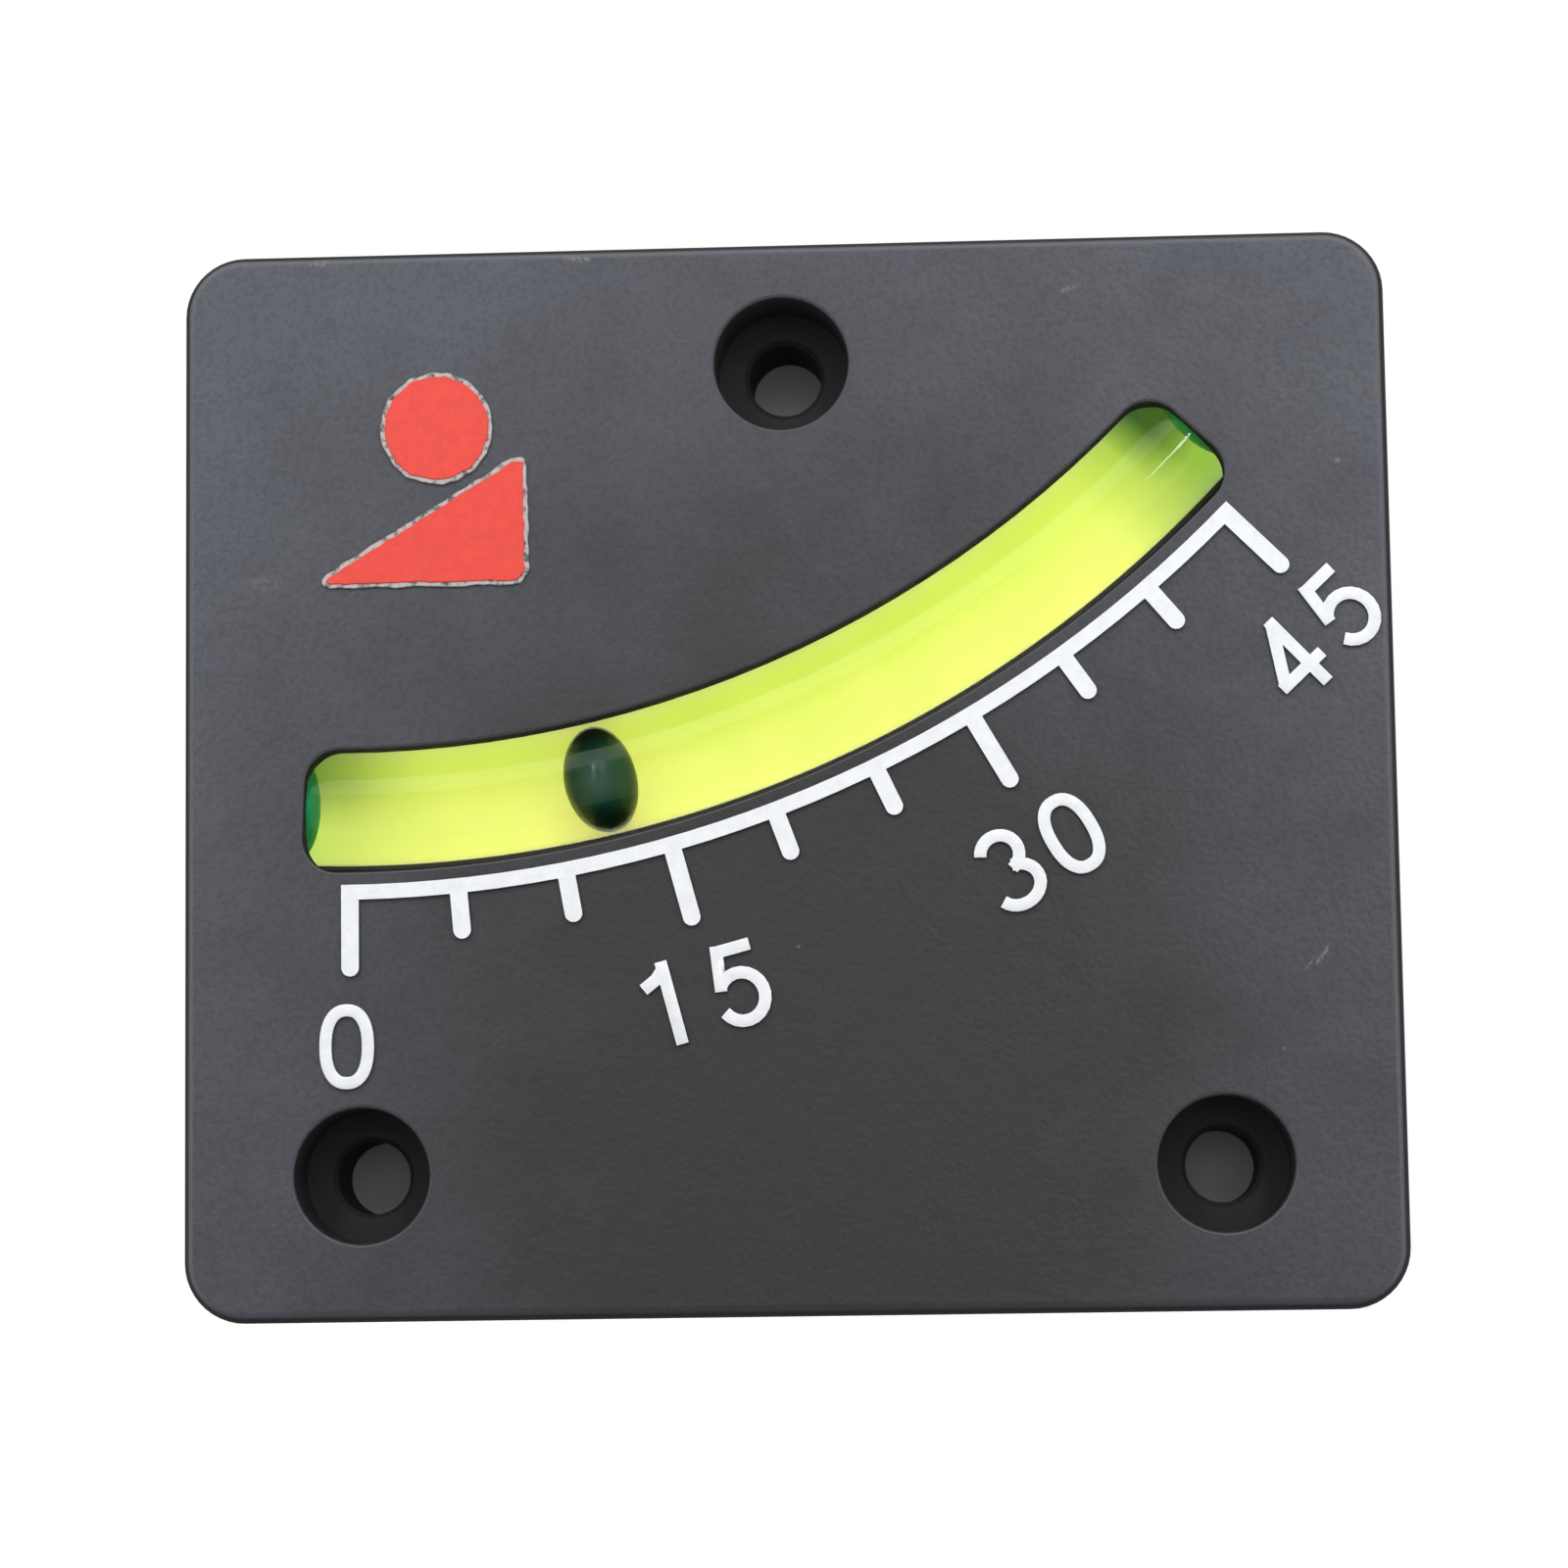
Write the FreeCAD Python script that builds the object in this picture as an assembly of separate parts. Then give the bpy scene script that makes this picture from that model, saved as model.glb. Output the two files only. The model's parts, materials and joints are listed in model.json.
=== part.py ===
import FreeCAD, Part
import math
import os

# Ball inclinometer for a panel. A moulded plate with a curved window shows a bent, fluid-filled
# tube, and a ball in the tube rolls to the lowest point of the arc. Millimetres. X runs to the
# right along the face, Y back into the panel and Z up. The origin is the middle of the rear face.

# Plate: outline, depth, corner radius, and the round along the edge of its face
plate_width = 90.0
plate_height = 80.0
plate_depth = 14.0
plate_corner_radius = 4.5
face_edge_round = 0.9
face_wall = 2.4
side_wall = 2.6

# Mounting holes: counterbored for the head of an M5 cap screw, and set in from the plate's edges
hole_radius = 2.75
hole_chamfer = 0.35
counterbore_radius = 5.0
counterbore_depth = 6.3
counterbore_rim_chamfer = 0.25
counterbore_wall = 2.0
top_hole_inset = 9.15
low_hole_side_inset = 13.25
low_hole_bottom_inset = 10.7

# Arc of the tube's centre line. Its first mark is at zero, straight below the arc's centre, and
# both end marks are set in from the plate's sides. Angles are in degrees from straight down.
first_mark_inset = 12.5
last_mark_inset = 17.05
arc_low_point_drop = 1.45
scale_end_angle = 45.0
tick_step_angle = 5.0
ball_angle = 12.3

# Window through the face, measured from the tube's centre line and past the end marks
window_inner_reach = 3.8
window_outer_reach = 5.35
window_left_overreach = 3.5
window_right_overreach = 3.0
window_corner_radius = 2.6
window_edge_chamfer = 0.2

# Tube, its bore, and how far it runs past the end marks
tube_radius = 4.4
tube_wall = 1.5
tube_overreach = 7.75
tube_end_chamfer = 0.25

# Ball and fluid
ball_radius = 2.75
ball_rest_gap = 0.06
ball_stop_gap = 0.15
fluid_gap = 0.02

# Rubber stoppers that close the tube
plug_gap = 0.02
plug_nose_length = 1.6
plug_tip_radius = 1.7
plug_flange_thickness = 1.2
plug_flange_step = 0.2
plug_flange_chamfer = 0.3

# White liner behind the tube: a strip with its two long sides folded forward
liner_thickness = 0.4
liner_gap = 0.1
liner_cover_gap = 1.3
liner_fold_angle = 45.0
liner_overreach = 4.3

# Scale comb: raised strokes on the face, topped with a white film
bar_gap = 0.99
bar_thickness = 1.1
tick_width = 1.3
ticks_per_major = 3
major_length = 6.8
minor_length = 4.5
relief_height = 0.25
film_thickness = 0.1

# Trough and cradles that hold the tube inside the housing
seat_gap = 0.1
trough_gap = 0.15
trough_wall = 1.6
trough_depth = 8.5
cradle_length = 2.4
cradle_parting = 0.6
end_stop_gap = 0.3

# Stiffening ribs behind the face
rib_thickness = 1.2
rib_depth = 7.0

# Rear cover, let into the back of the housing
cover_thickness = 2.0
cover_ledge = 0.7
cover_gap = 0.15
cover_pillar_gap = 0.2
pillar_rear_radius = 5.5
saddle_thickness = 1.6
saddle_half_width = 3.6
saddle_count = 3

# Self-tapping screws of the cover and the bosses that they bite into
screw_shank_radius = 1.3
screw_length = 8.0
screw_point_length = 1.2
screw_head_radius = 2.5
screw_head_depth = 1.2
screw_recess_width = 0.6
screw_recess_reach = 1.3
screw_recess_depth = 0.7
screw_fit_gap = 0.02
boss_radius = 3.2
boss_bite = 0.2
boss_spare_depth = 0.8
low_boss_spread = 12.0

# Every cut runs past the surface that it leaves by this much
overrun = 1.0

# How near two places or two directions have to be to count as one
place_tolerance = 0.001
parallel_tolerance_share = 0.001

# Sizes that follow from the ones above
mark_spread = plate_width - first_mark_inset - last_mark_inset
tube_path_radius = mark_spread / math.sin(math.radians(scale_end_angle))
arc_centre_x = first_mark_inset - plate_width / 2
arc_centre_z = tube_path_radius - arc_low_point_drop
window_inner_radius = tube_path_radius - window_inner_reach
window_outer_radius = tube_path_radius + window_outer_reach
bar_radius = window_outer_radius + bar_gap
top_hole_height = plate_height / 2 - top_hole_inset
low_hole_height = low_hole_bottom_inset - plate_height / 2
low_hole_spread = plate_width / 2 - low_hole_side_inset
bore_radius = tube_radius - tube_wall
liner_reach = tube_radius + liner_gap
liner_rear = liner_reach + liner_thickness
cover_front = plate_depth - cover_thickness
tube_centre_depth = cover_front - liner_cover_gap - liner_rear
trough_inner_radius = tube_path_radius - liner_rear - trough_gap
back = FreeCAD.Vector(0, 1, 0)
arc_axis = FreeCAD.Vector(0, -1, 0)


def y_at(depth):
    """The place along Y of a depth measured from the face."""
    return depth - plate_depth


def on_arc(radius, angle, depth):
    """A point at a radius from the arc's centre, at an angle of the scale and a depth."""
    turn = math.radians(angle)
    x = arc_centre_x + radius * math.sin(turn)
    z = arc_centre_z - radius * math.cos(turn)
    return FreeCAD.Vector(x, y_at(depth), z)


def along_arc(angle):
    """The direction in which the scale's angle grows."""
    turn = math.radians(angle)
    return FreeCAD.Vector(math.cos(turn), 0, math.sin(turn))


def degrees_of(length):
    """The angle that a length takes up along the tube's centre line."""
    return math.degrees(length / tube_path_radius)


tube_start = -degrees_of(tube_overreach)
tube_end = scale_end_angle + degrees_of(tube_overreach)


def straight_back(shape):
    """The straight edges of a shape that run along Y."""
    found = []
    for edge in shape.Edges:
        if edge.Curve.TypeId == "Part::GeomLine":
            run = edge.tangentAt(edge.FirstParameter)
            if abs(run.dot(back)) > 1 - parallel_tolerance_share:
                found.append(edge)
    return found


def edges_at(shape, depth):
    """The edges of a shape that lie wholly at one depth."""
    found = []
    for edge in shape.Edges:
        box = edge.BoundBox
        if max(abs(box.YMin - y_at(depth)), abs(box.YMax - y_at(depth))) < place_tolerance:
            found.append(edge)
    return found


def slab(width, height, radius, front, rear):
    """An upright block about the origin with rounded corners, between two depths."""
    plain = block(-width / 2, width / 2, -height / 2, height / 2, front, rear)
    return plain.makeFillet(radius, straight_back(plain))


def block(left, right, bottom, top, front, rear):
    """A plain block between two places along each direction."""
    corner = FreeCAD.Vector(left, y_at(front), bottom)
    return Part.makeBox(right - left, rear - front, top - bottom, corner)


def post(x, z, radius, front, rear):
    """A round post or hole that runs straight back between two depths."""
    foot = FreeCAD.Vector(x, y_at(front), z)
    return Part.makeCylinder(radius, rear - front, foot, back)


def sector(inner, outer, start, end, front, rear):
    """A curved bar about the arc's centre, between two radii, two angles and two depths."""
    middle = (start + end) / 2
    first = on_arc(inner, start, front)
    second = on_arc(outer, start, front)
    third = on_arc(outer, end, front)
    fourth = on_arc(inner, end, front)
    outer_arc = Part.Arc(second, on_arc(outer, middle, front), third).toShape()
    inner_arc = Part.Arc(fourth, on_arc(inner, middle, front), first).toShape()
    sides = [Part.makeLine(first, second), outer_arc, Part.makeLine(third, fourth), inner_arc]
    return Part.Face(Part.Wire(sides)).extrude(FreeCAD.Vector(0, rear - front, 0))


def bent_rod(radius, start, end):
    """A round rod along the tube's centre line, between two angles."""
    centre = on_arc(tube_path_radius, start, tube_centre_depth)
    ring = Part.Wire(Part.makeCircle(radius, centre, along_arc(start)))
    return swung(Part.Face(ring), end - start)


def swung(face, angle):
    """A face turned about the arc's centre, so that it sweeps a solid."""
    return face.revolve(on_arc(0, 0, 0), arc_axis, angle)


def turned(x, z, profile):
    """A solid turned about a line that runs straight back: the profile lists radii and depths."""
    points = [FreeCAD.Vector(x + radius, y_at(depth), z) for radius, depth in profile]
    outline = Part.makePolygon(points + points[:1])
    return Part.Face(outline).revolve(FreeCAD.Vector(x, 0, z), back, 360)


def mounting_places():
    """The three screw places of the plate, as X and Z."""
    low = low_hole_height
    return [(0, top_hole_height), (-low_hole_spread, low), (low_hole_spread, low)]


def boss_places():
    """The four places where the cover is screwed on, as X and Z."""
    inset = side_wall + boss_radius - boss_bite
    x = plate_width / 2 - inset
    z = plate_height / 2 - inset
    return [(-x, z), (x, z), (-low_boss_spread, -z), (low_boss_spread, -z)]


def mounting_hole(x, z):
    """The cut for one cap screw: chamfered mouth, counterbore, chamfered floor and through hole."""
    mouth = counterbore_radius + counterbore_rim_chamfer
    past = plate_depth + overrun
    profile = [
        (0, -overrun),
        (mouth, -overrun),
        (mouth, 0),
        (counterbore_radius, counterbore_rim_chamfer),
        (counterbore_radius, counterbore_depth),
        (hole_radius + hole_chamfer, counterbore_depth),
        (hole_radius, counterbore_depth + hole_chamfer),
        (hole_radius, past),
        (0, past),
    ]
    return turned(x, z, profile)


def comb(front, rear):
    """The strokes of the scale between two depths: a curved bar with a tick at every step."""
    start = -math.degrees(tick_width / 2 / bar_radius)
    outer = bar_radius + bar_thickness
    bar = sector(bar_radius, outer, start, scale_end_angle - start, front, rear)
    ticks = []
    left = arc_centre_x - tick_width / 2
    root = arc_centre_z - bar_radius - bar_thickness / 2
    for number in range(round(scale_end_angle / tick_step_angle) + 1):
        length = minor_length if number % ticks_per_major else major_length
        tip = arc_centre_z - bar_radius - length + tick_width / 2
        stem = block(left, left + tick_width, tip, root, front, rear)
        tick = stem.fuse(post(arc_centre_x, tip, tick_width / 2, front, rear))
        tick.rotate(on_arc(0, 0, 0), arc_axis, number * tick_step_angle)
        ticks.append(tick)
    return bar.fuse(ticks).removeSplitter()


def window():
    """The curved opening through the face, with rounded corners."""
    first = -degrees_of(window_left_overreach)
    last = scale_end_angle + degrees_of(window_right_overreach)
    rear = face_wall + overrun
    opening = sector(window_inner_radius, window_outer_radius, first, last, -overrun, rear)
    return opening.makeFillet(window_corner_radius, straight_back(opening))


def trough():
    """Two curved walls beside the tube, an end stop, and a half-round cradle at each end."""
    stop_angle = tube_end + degrees_of(plug_flange_thickness + end_stop_gap)
    last = stop_angle + degrees_of(trough_wall)
    first = tube_start - degrees_of(plug_flange_thickness + end_stop_gap + side_wall)
    inner = trough_inner_radius
    outer = window_outer_radius
    front = face_wall / 2
    cradle_rear = tube_centre_depth - cradle_parting / 2
    cradle = degrees_of(cradle_length)
    inner_side = inner - trough_wall
    outer_side = outer + trough_wall
    return [
        sector(inner_side, inner, first, last, front, trough_depth),
        sector(outer, outer_side, first, last, front, trough_depth),
        sector(inner_side, outer_side, stop_angle, last, front, trough_depth),
        sector(inner_side, outer_side, tube_start, tube_start + cradle, front, cradle_rear),
        sector(inner_side, outer_side, tube_end - cradle, tube_end, front, cradle_rear),
    ]


def ribs():
    """Stiffening ribs behind the face: they tie the screw pillars to the walls and to the trough."""
    half = rib_thickness / 2
    left = -plate_width / 2 + side_wall / 2
    bottom = -plate_height / 2 + side_wall / 2
    front = face_wall / 2
    across = block(left, -left, low_hole_height - half, low_hole_height + half, front, rib_depth)
    below = post(arc_centre_x, arc_centre_z, window_outer_radius + trough_wall / 2, front, rib_depth)
    above = post(arc_centre_x, arc_centre_z, trough_inner_radius - trough_wall / 2, front, rib_depth)
    pieces = [across]
    for x, z in mounting_places():
        riser = block(x - half, x + half, bottom, top_hole_height, front, rib_depth)
        pieces.append(riser.cut(below))
    hanger = block(-half, half, bottom, top_hole_height, front, rib_depth)
    pieces.append(hanger.common(above))
    return pieces


def front_housing():
    """The moulded housing: a plate with side walls, a window, screw pillars, a trough and bosses."""
    body = slab(plate_width, plate_height, plate_corner_radius, 0, plate_depth)
    body = body.makeFillet(face_edge_round, edges_at(body, 0))
    outside = body.copy()

    opening = window()
    body = body.cut(opening)
    rim = []
    for edge in edges_at(body, 0):
        middle = edge.BoundBox.Center
        inset = min(plate_width / 2 - abs(middle.x), plate_height / 2 - abs(middle.z))
        if inset > plate_corner_radius:
            rim.append(edge)
    body = body.makeChamfer(window_edge_chamfer, rim)

    inner_radius = plate_corner_radius - side_wall
    inside = slab(plate_width - 2 * side_wall, plate_height - 2 * side_wall, inner_radius,
                  face_wall, plate_depth + overrun)
    rebate_wall = side_wall - cover_ledge
    rebate = slab(plate_width - 2 * rebate_wall, plate_height - 2 * rebate_wall,
                  plate_corner_radius - rebate_wall, cover_front, plate_depth + overrun)
    body = body.cut([inside, rebate])

    added = trough() + ribs()
    shoulder = counterbore_depth + counterbore_wall
    for x, z in mounting_places():
        wide = counterbore_radius + counterbore_wall
        added.append(post(x, z, wide, face_wall / 2, shoulder))
        added.append(post(x, z, pillar_rear_radius, face_wall / 2, plate_depth))
    for x, z in boss_places():
        added.append(post(x, z, boss_radius, face_wall / 2, cover_front))
    added = [piece.common(outside) for piece in added]
    body = body.fuse(added)

    past = degrees_of(plug_flange_thickness + end_stop_gap)
    cuts = [bent_rod(tube_radius + seat_gap, tube_start - past, tube_end + past), opening]
    for x, z in mounting_places():
        cuts.append(mounting_hole(x, z))
    pilot_front = plate_depth - screw_length - boss_spare_depth
    for x, z in boss_places():
        cuts.append(post(x, z, screw_shank_radius + screw_fit_gap, pilot_front, plate_depth))
    body = body.cut(cuts)
    return body.fuse(comb(-relief_height, face_wall / 2)).removeSplitter()


def back_cover():
    """The flat rear cover: cleared round the pillars, countersunk, with clamps and saddles."""
    rebate_wall = side_wall - cover_ledge
    width = plate_width - 2 * (rebate_wall + cover_gap)
    height = plate_height - 2 * (rebate_wall + cover_gap)
    radius = plate_corner_radius - rebate_wall - cover_gap
    sheet = slab(width, height, radius, cover_front, plate_depth)

    inner = tube_path_radius - saddle_half_width
    outer = tube_path_radius + saddle_half_width
    root = cover_front + cover_thickness / 2
    parting = tube_centre_depth + cradle_parting / 2
    cradle = degrees_of(cradle_length)
    clamps = [
        sector(inner, outer, tube_start, tube_start + cradle, parting, root),
        sector(inner, outer, tube_end - cradle, tube_end, parting, root),
    ]
    past = degrees_of(overrun)
    clamp_cut = bent_rod(tube_radius + seat_gap, tube_start - past, tube_end + past)
    clamps = [clamp.cut(clamp_cut) for clamp in clamps]

    saddle_front = tube_centre_depth + liner_rear / 2
    saddle_cut = swung(folded([liner_rear + seat_gap], tube_start), tube_end - tube_start)
    half = degrees_of(saddle_thickness) / 2
    for number in range(saddle_count):
        angle = scale_end_angle * (number + 1) / (saddle_count + 1)
        saddle = sector(inner, outer, angle - half, angle + half, saddle_front, root)
        clamps.append(saddle.cut(saddle_cut))
    sheet = sheet.fuse(clamps)

    clear = pillar_rear_radius + cover_pillar_gap
    front = cover_front - overrun
    rear = plate_depth + overrun
    holes = [post(x, z, clear, front, rear) for x, z in mounting_places()]
    holes += [screw(x, z, screw_fit_gap) for x, z in boss_places()]
    return sheet.cut(holes).removeSplitter()


def screw(x, z, gap):
    """The outside of one countersunk screw, grown by a gap all round."""
    shank = screw_shank_radius + gap
    tip = plate_depth - screw_length
    profile = [
        (0, plate_depth),
        (screw_head_radius + gap, plate_depth),
        (shank, plate_depth - screw_head_depth),
        (shank, tip + screw_point_length),
        (0, tip),
    ]
    return turned(x, z, profile)


def cover_screws():
    """Four countersunk screws with a cross recess in the head."""
    made = []
    for x, z in boss_places():
        body = screw(x, z, 0)
        half = screw_recess_width / 2
        floor = plate_depth - screw_recess_depth
        reach = screw_recess_reach
        past = plate_depth + overrun
        upright = block(x - half, x + half, z - reach, z + reach, floor, past)
        level = block(x - reach, x + reach, z - half, z + half, floor, past)
        made.append(body.cut([upright, level]))
    return Part.makeCompound(made)


def vial_tube():
    """The bent clear tube, open at both ends, with its outer edges broken."""
    bore = bent_rod(bore_radius, tube_start, tube_end)
    tube = bent_rod(tube_radius, tube_start, tube_end).cut(bore)
    rims = []
    for edge in tube.Edges:
        if edge.Curve.TypeId == "Part::GeomCircle":
            if abs(edge.Curve.Radius - tube_radius) < place_tolerance:
                rims.append(edge)
    return tube.makeChamfer(tube_end_chamfer, rims)


def nose_angle(side):
    """The angle where a stopper's nose ends, just clear of the ball at its last mark."""
    last = scale_end_angle if side > 0 else 0
    return last + side * degrees_of(ball_radius + ball_stop_gap)


def end_plug(side):
    """A rubber stopper: tapered nose, a shank bent like the bore, and a flange over the tube's end."""
    end = tube_end if side > 0 else tube_start
    shoulder = nose_angle(side) + side * degrees_of(plug_nose_length)
    radius = bore_radius - plug_gap
    shank = bent_rod(radius, min(end, shoulder), max(end, shoulder))

    inward = along_arc(shoulder) * -side
    base = on_arc(tube_path_radius, shoulder, tube_centre_depth)
    nose = Part.makeCone(radius, plug_tip_radius, plug_nose_length, base, inward)

    outward = along_arc(end) * side
    rim = on_arc(tube_path_radius, end, tube_centre_depth)
    flange_radius = tube_radius - plug_flange_step
    straight = plug_flange_thickness - plug_flange_chamfer
    flange = Part.makeCylinder(flange_radius, straight, rim, outward)
    face_radius = flange_radius - plug_flange_chamfer
    foot = rim + outward * straight
    edge = Part.makeCone(flange_radius, face_radius, plug_flange_chamfer, foot, outward)
    return shank.fuse([nose, flange, edge]).removeSplitter()


def ball_place():
    """The ball's centre: it lies on the outer side of the bore, a hair clear of the glass."""
    radius = tube_path_radius + bore_radius - ball_radius - ball_rest_gap
    return on_arc(radius, ball_angle, tube_centre_depth)


def indicator_ball():
    """The ball that shows the angle."""
    return Part.makeSphere(ball_radius, ball_place())


def damping_fluid():
    """The fluid that fills the bore from nose to nose, with room for the ball."""
    first = nose_angle(-1) - degrees_of(plug_nose_length)
    last = nose_angle(1) + degrees_of(plug_nose_length)
    filling = bent_rod(bore_radius - fluid_gap, first, last)
    room = Part.makeSphere(ball_radius + fluid_gap, ball_place())
    return filling.cut([room, end_plug(-1), end_plug(1)])


def folded(reaches, angle):
    """A face across the tube at an angle: three folded sides behind it, at each of the reaches."""
    centre = on_arc(tube_path_radius, angle, tube_centre_depth)
    outwards = on_arc(tube_path_radius + tube_radius, angle, tube_centre_depth) - centre
    outwards.normalize()
    half_fold = math.radians(liner_fold_angle / 2)
    corners = []
    for reach in reaches:
        far = reach / math.cos(half_fold)
        side = []
        for turn in (-3 * half_fold, -half_fold, half_fold, 3 * half_fold):
            side.append(centre + back * (far * math.cos(turn)) + outwards * (far * math.sin(turn)))
        corners = side + corners[::-1]
    return Part.Face(Part.makePolygon(corners + corners[:1]))


def reflector_liner():
    """The white liner: a folded strip that hugs the back of the tube between its cradles."""
    past = degrees_of(liner_overreach)
    section = folded([liner_reach, liner_rear], -past)
    return swung(section, scale_end_angle + 2 * past)


def scale_film():
    """The white film on top of the raised comb."""
    return comb(-relief_height - film_thickness, -relief_height)


nodes = {
    "front_housing": front_housing(),
    "back_cover": back_cover(),
    "vial_tube": vial_tube(),
    "left_end_plug": end_plug(-1),
    "right_end_plug": end_plug(1),
    "indicator_ball": indicator_ball(),
    "damping_fluid": damping_fluid(),
    "reflector_liner": reflector_liner(),
    "scale_film": scale_film(),
    "cover_screws": cover_screws(),
}

os.makedirs("parts", exist_ok=True)
for name, shape in nodes.items():
    shape.exportStep("parts/" + name + ".step")
    print(name, "solids", len(shape.Solids), "valid", shape.isValid(), "mm3", round(shape.Volume, 1))
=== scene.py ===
import json
import math

import bmesh
import bpy
from mathutils import Matrix, Vector, noise


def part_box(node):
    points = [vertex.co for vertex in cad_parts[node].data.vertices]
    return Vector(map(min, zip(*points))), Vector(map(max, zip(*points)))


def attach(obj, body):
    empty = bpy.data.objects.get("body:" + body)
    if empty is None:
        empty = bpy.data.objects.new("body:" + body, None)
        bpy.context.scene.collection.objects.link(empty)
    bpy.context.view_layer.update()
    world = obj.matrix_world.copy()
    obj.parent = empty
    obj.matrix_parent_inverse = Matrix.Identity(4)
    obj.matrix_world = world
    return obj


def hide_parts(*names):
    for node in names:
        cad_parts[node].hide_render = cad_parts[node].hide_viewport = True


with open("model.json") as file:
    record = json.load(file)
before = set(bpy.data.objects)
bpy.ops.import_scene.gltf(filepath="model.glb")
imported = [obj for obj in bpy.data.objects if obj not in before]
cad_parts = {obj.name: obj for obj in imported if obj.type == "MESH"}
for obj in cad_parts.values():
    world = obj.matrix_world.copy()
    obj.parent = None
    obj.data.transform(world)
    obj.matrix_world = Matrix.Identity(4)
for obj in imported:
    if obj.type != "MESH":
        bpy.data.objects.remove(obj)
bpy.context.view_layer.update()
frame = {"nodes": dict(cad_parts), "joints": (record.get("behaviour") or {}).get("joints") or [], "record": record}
parts = frame["nodes"]

# Front housing: one moulding in dark grey plastic, whose spark-eroded mould leaves a fine pebbled
# grain, with painted shade in its hollows. A painted sheen pales it towards the top corners, a painted
# highlight runs round its edges, painted shade darkens its side walls and its window's walls, and
# handling has left scuffs on the face, each given by its place, reach and width in mm, its turn in
# degrees and its strength.
mm = 0.001
face_depth = -14 * mm
housing_grey = (0.024, 0.024, 0.0245)
housing_grey_sheen = (0.084, 0.089, 0.110)
side_shade_grey = (0.014, 0.014, 0.016)
edge_highlight_grey = (0.150, 0.150, 0.165)
window_shade_black = (0.004, 0.004, 0.005)
hollow_shade_black = (0.012, 0.012, 0.014)
housing_gloss = 0.2
side_roughness = 0.72
deep_roughness = 0.95
arc_centre = Vector(frame["joints"][0]["pos_m"])
ball_low, ball_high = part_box("indicator_ball")
ball_radius = (ball_high.y - ball_low.y) / 2
bore_radius = 2.9 * mm
ball_rest_gap = 0.06 * mm
scale_end = 45.0
ball_reach = ((ball_low + ball_high) / 2 - arc_centre).length
path_radius = ball_reach - bore_radius + ball_radius + ball_rest_gap
scuff_grey = (0.24, 0.24, 0.25)
pebble_size = 0.42 * mm
pebble_height = 0.045 * mm
ripple_size = 2.6 * mm
ripple_height = 0.035 * mm
sheen_near = 19 * mm
sheen_far = 60 * mm
sheen_patch = 7 * mm
window_half_width = 6.2 * mm
window_half_turn = 27.5
foot_levels = (-39.2 * mm, -37.5 * mm)
edge_highlight_levels = (face_depth + 0.005 * mm, face_depth + 0.04 * mm)
side_levels = (face_depth + 0.09 * mm, face_depth + 0.22 * mm)
wall_levels = (face_depth + 0.1 * mm, face_depth + 0.3 * mm)
scuffs = [
    (-34.8, 39.3, 0.9, 0.35, 10, 0.7),
    (-15.2, 39.2, 1.3, 0.30, -5, 0.8),
    (21.6, 36.0, 1.0, 0.30, 20, 0.4),
    (-38.9, 15.0, 1.8, 0.70, 0, 0.22),
    (-31.5, 14.6, 1.6, 0.25, 35, 0.25),
    (41.2, 22.5, 0.3, 0.30, 0, 0.6),
    (39.1, -14.2, 1.0, 0.22, 55, 0.8),
    (38.2, -14.8, 0.7, 0.12, 50, 0.6),
    (0.7, -12.9, 0.22, 0.16, 0, 0.5),
    (36.1, -21.0, 0.2, 0.16, 0, 0.5),
]


def start_finish(name, colour, roughness):
    """A new finish: the material, its node tree and its shader."""
    made = bpy.data.materials.new(name)
    made.use_nodes = True
    shader = made.node_tree.nodes["Principled BSDF"]
    shader.inputs["Base Color"].default_value = (*colour, 1)
    shader.inputs["Roughness"].default_value = roughness
    return made, made.node_tree, shader


def add_node(tree, kind, inputs=(), **settings):
    """One node with its settings, and each input fed by a value or by another node's output."""
    made = tree.nodes.new(kind)
    for name, value in settings.items():
        setattr(made, name, value)
    for name, value in dict(inputs).items():
        if isinstance(value, bpy.types.NodeSocket):
            tree.links.new(value, made.inputs[name])
        else:
            made.inputs[name].default_value = value
    return made


def place_on_piece(tree):
    """The piece's own coordinates, in metres."""
    found = tree.nodes.get("place") or add_node(tree, "ShaderNodeTexCoord", name="place")
    return found.outputs["Object"]


def place_parts(tree):
    """The X, Y and Z of the piece's own coordinates."""
    found = tree.nodes.get("place parts") or add_node(
        tree, "ShaderNodeSeparateXYZ", {0: place_on_piece(tree)}, name="place parts"
    )
    return found.outputs


def clouds(tree, size, detail=3.0, roughness=0.5):
    """Soft noise whose patches are about as wide as the size."""
    inputs = {
        "Vector": place_on_piece(tree),
        "Scale": 1 / size,
        "Detail": detail,
        "Roughness": roughness,
    }
    return add_node(tree, "ShaderNodeTexNoise", inputs).outputs[0]


def spread(tree, source, low, high, bottom, top):
    """A value drawn out from one range to another, and held inside it."""
    inputs = {0: source, 1: low, 2: high, 3: bottom, 4: top}
    return add_node(tree, "ShaderNodeMapRange", inputs, clamp=True).outputs[0]


def reckon(tree, operation, first, second=0.0):
    """The outcome of one sum on two values."""
    return add_node(tree, "ShaderNodeMath", {0: first, 1: second}, operation=operation).outputs[0]


def tint(tree, share, first, second):
    """A colour between two others."""
    inputs = {0: share}
    for slot, colour in ((6, first), (7, second)):
        inputs[slot] = (*colour, 1) if isinstance(colour, tuple) else colour
    return add_node(tree, "ShaderNodeMix", inputs, data_type="RGBA").outputs[2]


def relief(tree, height, distance, under=None):
    """A surface raised by a height from 0 to 1, over another relief if there is one."""
    inputs = {"Height": height, "Distance": distance, "Strength": 1.0}
    if under is not None:
        inputs["Normal"] = under
    return add_node(tree, "ShaderNodeBump", inputs).outputs[0]


def feed(tree, shader, **inputs):
    """Links node outputs to the shader's inputs."""
    for name, source in inputs.items():
        tree.links.new(source, shader.inputs[name.replace("_", " ")])


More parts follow.
